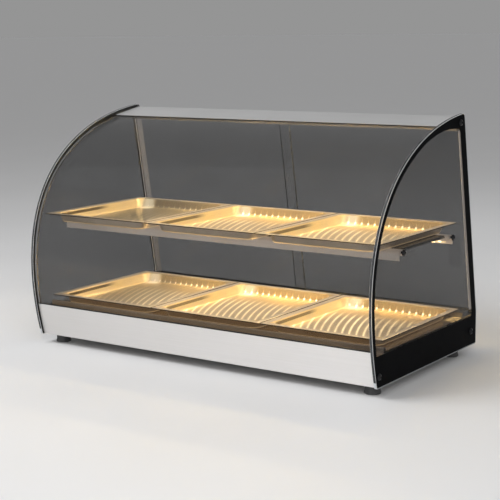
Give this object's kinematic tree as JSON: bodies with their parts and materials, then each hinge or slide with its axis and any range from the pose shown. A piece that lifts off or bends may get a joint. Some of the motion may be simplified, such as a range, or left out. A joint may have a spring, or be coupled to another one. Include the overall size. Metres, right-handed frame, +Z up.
{
  "type": "food holding cabinet",
  "caption": "Countertop heated display cabinet with a curved glass front, glass sides, two decks of removable pans, warm light bars and sliding glass rear doors.",
  "frame": {"origin": "centre of the overall box, on the surface that the four feet stand on", "axes": "+X along the cabinet's length, to the right as seen from the customer's side; +Y from the curved front to the operator's doors; +Z up"},
  "size_m": [0.847, 0.4723, 0.5029],
  "materials": {
    "stainless": "brushed stainless sheet, satin",
    "pan_steel": "bright pressed stainless",
    "clear_glass": "clear tempered glass, black printed border on the sides",
    "clear_acrylic": "clear moulded acrylic",
    "rail_metal": "satin anodised extrusion",
    "black_rubber": "matt black rubber",
    "black_plastic": "satin black moulding",
    "black_steel": "black oxide",
    "element_steel": "heat-darkened sheath",
    "light_diffuser": "warm white, lit",
    "power_rocker_red": "glossy",
    "light_rocker_green": "glossy",
    "pilot_lens": "translucent amber-red",
    "bulb_copper": "drawn copper",
    "driver_white": "white enamel case",
    "terminal_cream": "unglazed ceramic",
    "insulation_wool": "compressed mineral wool"
  },
  "bodies": {
    "cabinet": {"base_tray": "stainless", "bolt_lower_front_left": "black_steel", "bolt_lower_front_right": "black_steel", "bolt_lower_rear_left": "black_steel", "bolt_lower_rear_right": "black_steel", "bolt_shelf_front_left": "black_steel", "bolt_shelf_front_right": "black_steel", "bolt_shelf_rear_left": "black_steel", "bolt_shelf_rear_right": "black_steel", "bolt_top_rear_left": "black_steel", "bolt_top_rear_right": "black_steel", "cord_gland": "black_plastic", "deck": "stainless", "door_track_lower": "rail_metal", "door_track_upper": "rail_metal", "element_bracket_left": "stainless", "element_bracket_right": "stainless", "foot_front_left": "black_rubber", "foot_front_right": "black_rubber", "foot_rear_left": "black_rubber", "foot_rear_right": "black_rubber", "front_fascia": "stainless", "front_glass": "clear_glass", "heating_element": "element_steel", "insulation_pad": "insulation_wool", "led_bar_roof": "light_diffuser", "led_bar_shelf": "light_diffuser", "led_driver": "driver_white", "light_switch": "black_plastic", "lower_glass_seal": "black_rubber", "pilot_lamp": "pilot_lens", "power_switch": "black_plastic", "rear_panel": "stainless", "rear_post_left": "rail_metal", "rear_post_right": "rail_metal", "shelf_plate": "stainless", "shelf_rail_front": "rail_metal", "shelf_rail_rear": "rail_metal", "side_glass_left": "clear_glass", "side_glass_right": "clear_glass", "terminal_block": "terminal_cream", "thermostat": "black_plastic", "thermostat_bulb": "bulb_copper", "top_plate": "stainless", "upper_glass_seal": "black_rubber", "wire_loom": "black_plastic"},
    "door_left": {"door_glass_left": "clear_glass", "door_pull_left": "clear_acrylic"},
    "door_right": {"door_glass_right": "clear_glass", "door_pull_right": "clear_acrylic"},
    "temperature_knob": {"thermostat_knob": "black_plastic"},
    "power_rocker": {"power_rocker": "power_rocker_red"},
    "light_rocker": {"light_rocker": "light_rocker_green"},
    "pan_lower_left": {"pan_lower_left": "pan_steel"},
    "pan_lower_middle": {"pan_lower_middle": "pan_steel"},
    "pan_lower_right": {"pan_lower_right": "pan_steel"},
    "pan_upper_left": {"pan_upper_left": "pan_steel"},
    "pan_upper_middle": {"pan_upper_middle": "pan_steel"},
    "pan_upper_right": {"pan_upper_right": "pan_steel"}
  },
  "joints": [
    {"name": "door_left_slide", "type": "slide", "parent": "cabinet", "child": "door_left", "axis": [1, 0, 0], "range_m": [0, 0.39]},
    {"name": "door_right_slide", "type": "slide", "parent": "cabinet", "child": "door_right", "axis": [1, 0, 0], "range_m": [-0.39, 0]},
    {"name": "temperature_knob_turn", "type": "hinge", "parent": "cabinet", "child": "temperature_knob", "pos_m": [-0.215, 0.2222, 0.054], "axis": [0, 1, 0], "range_deg": [0, 300]},
    {"name": "power_rocker_tilt", "type": "hinge", "parent": "cabinet", "child": "power_rocker", "pos_m": [-0.305, 0.2048, 0.054], "axis": [1, 0, 0], "range_deg": [-16, 0]},
    {"name": "light_rocker_tilt", "type": "hinge", "parent": "cabinet", "child": "light_rocker", "pos_m": [-0.345, 0.2048, 0.054], "axis": [1, 0, 0], "range_deg": [-16, 0]},
    {"name": "pan_lower_left_lift", "type": "slide", "parent": "cabinet", "child": "pan_lower_left", "axis": [0, 0, 1], "range_m": [0, 0.1]},
    {"name": "pan_lower_middle_lift", "type": "slide", "parent": "cabinet", "child": "pan_lower_middle", "axis": [0, 0, 1], "range_m": [0, 0.1]},
    {"name": "pan_lower_right_lift", "type": "slide", "parent": "cabinet", "child": "pan_lower_right", "axis": [0, 0, 1], "range_m": [0, 0.1]},
    {"name": "pan_upper_left_lift", "type": "slide", "parent": "cabinet", "child": "pan_upper_left", "axis": [0, 0, 1], "range_m": [0, 0.008]},
    {"name": "pan_upper_middle_lift", "type": "slide", "parent": "cabinet", "child": "pan_upper_middle", "axis": [0, 0, 1], "range_m": [0, 0.008]},
    {"name": "pan_upper_right_lift", "type": "slide", "parent": "cabinet", "child": "pan_upper_right", "axis": [0, 0, 1], "range_m": [0, 0.008]}
  ]
}
